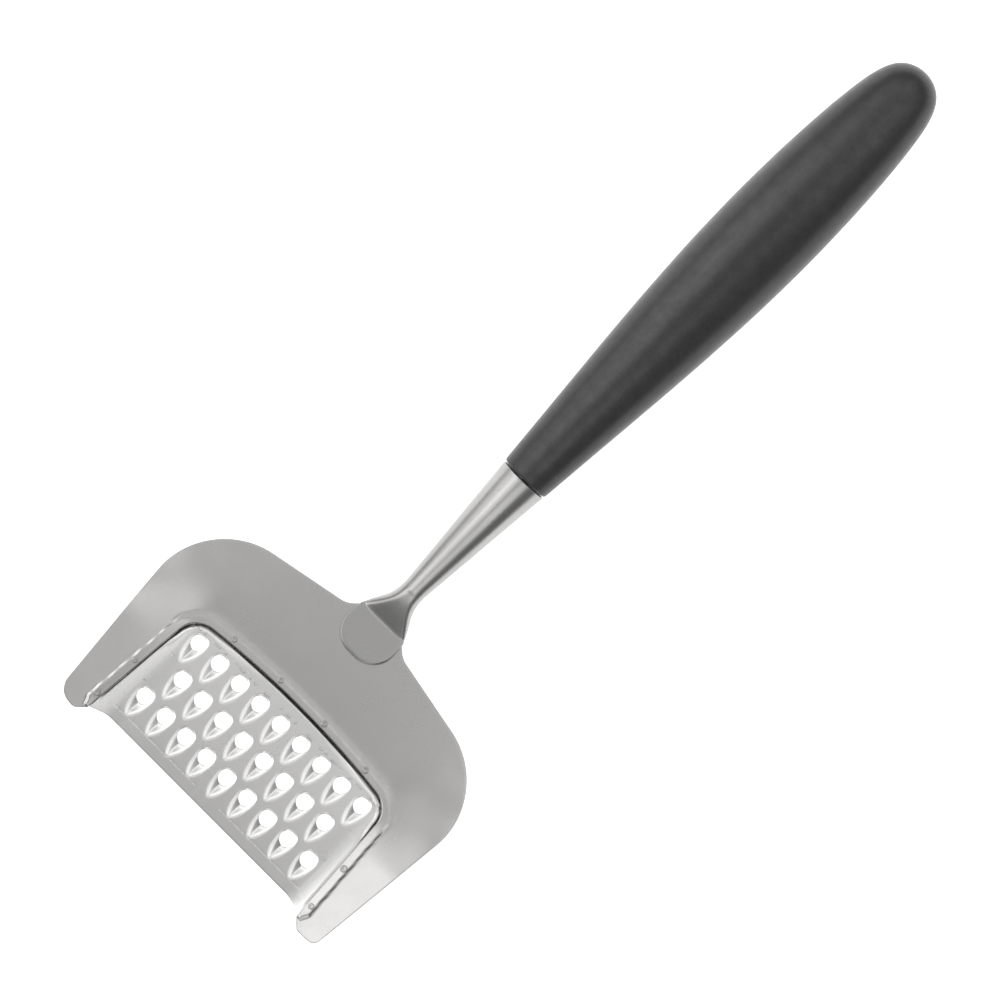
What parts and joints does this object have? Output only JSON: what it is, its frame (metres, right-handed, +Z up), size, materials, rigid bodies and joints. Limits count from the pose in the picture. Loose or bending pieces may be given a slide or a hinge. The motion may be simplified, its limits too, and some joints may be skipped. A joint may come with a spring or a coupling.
{
  "type": "hand cheese grater",
  "caption": "Hand-held cheese grater: a shallow scoop head with prongs and a toothed plate in its window, on a tapered steel neck with a round grip.",
  "frame": {"origin": "centre of the bounding box at table level, with the tool lying as it rests", "axes": "+Z up from the table, +Y from the grip's end towards the front of the head, +X across the head"},
  "size_m": [0.0956, 0.2532, 0.0266],
  "materials": {
    "sheet_steel": "satin",
    "plate_steel": "bright satin",
    "weld_steel": "fused",
    "neck_steel": "brushed along the neck",
    "rod_steel": "plain",
    "grip_plastic": "fine grained, matt"
  },
  "bodies": {
    "root": {"head_frame": "sheet_steel", "grater_plate": "plate_steel", "plate_welds": "weld_steel", "neck": "neck_steel", "tang": "rod_steel", "grip": "grip_plastic"}
  },
  "joints": []
}
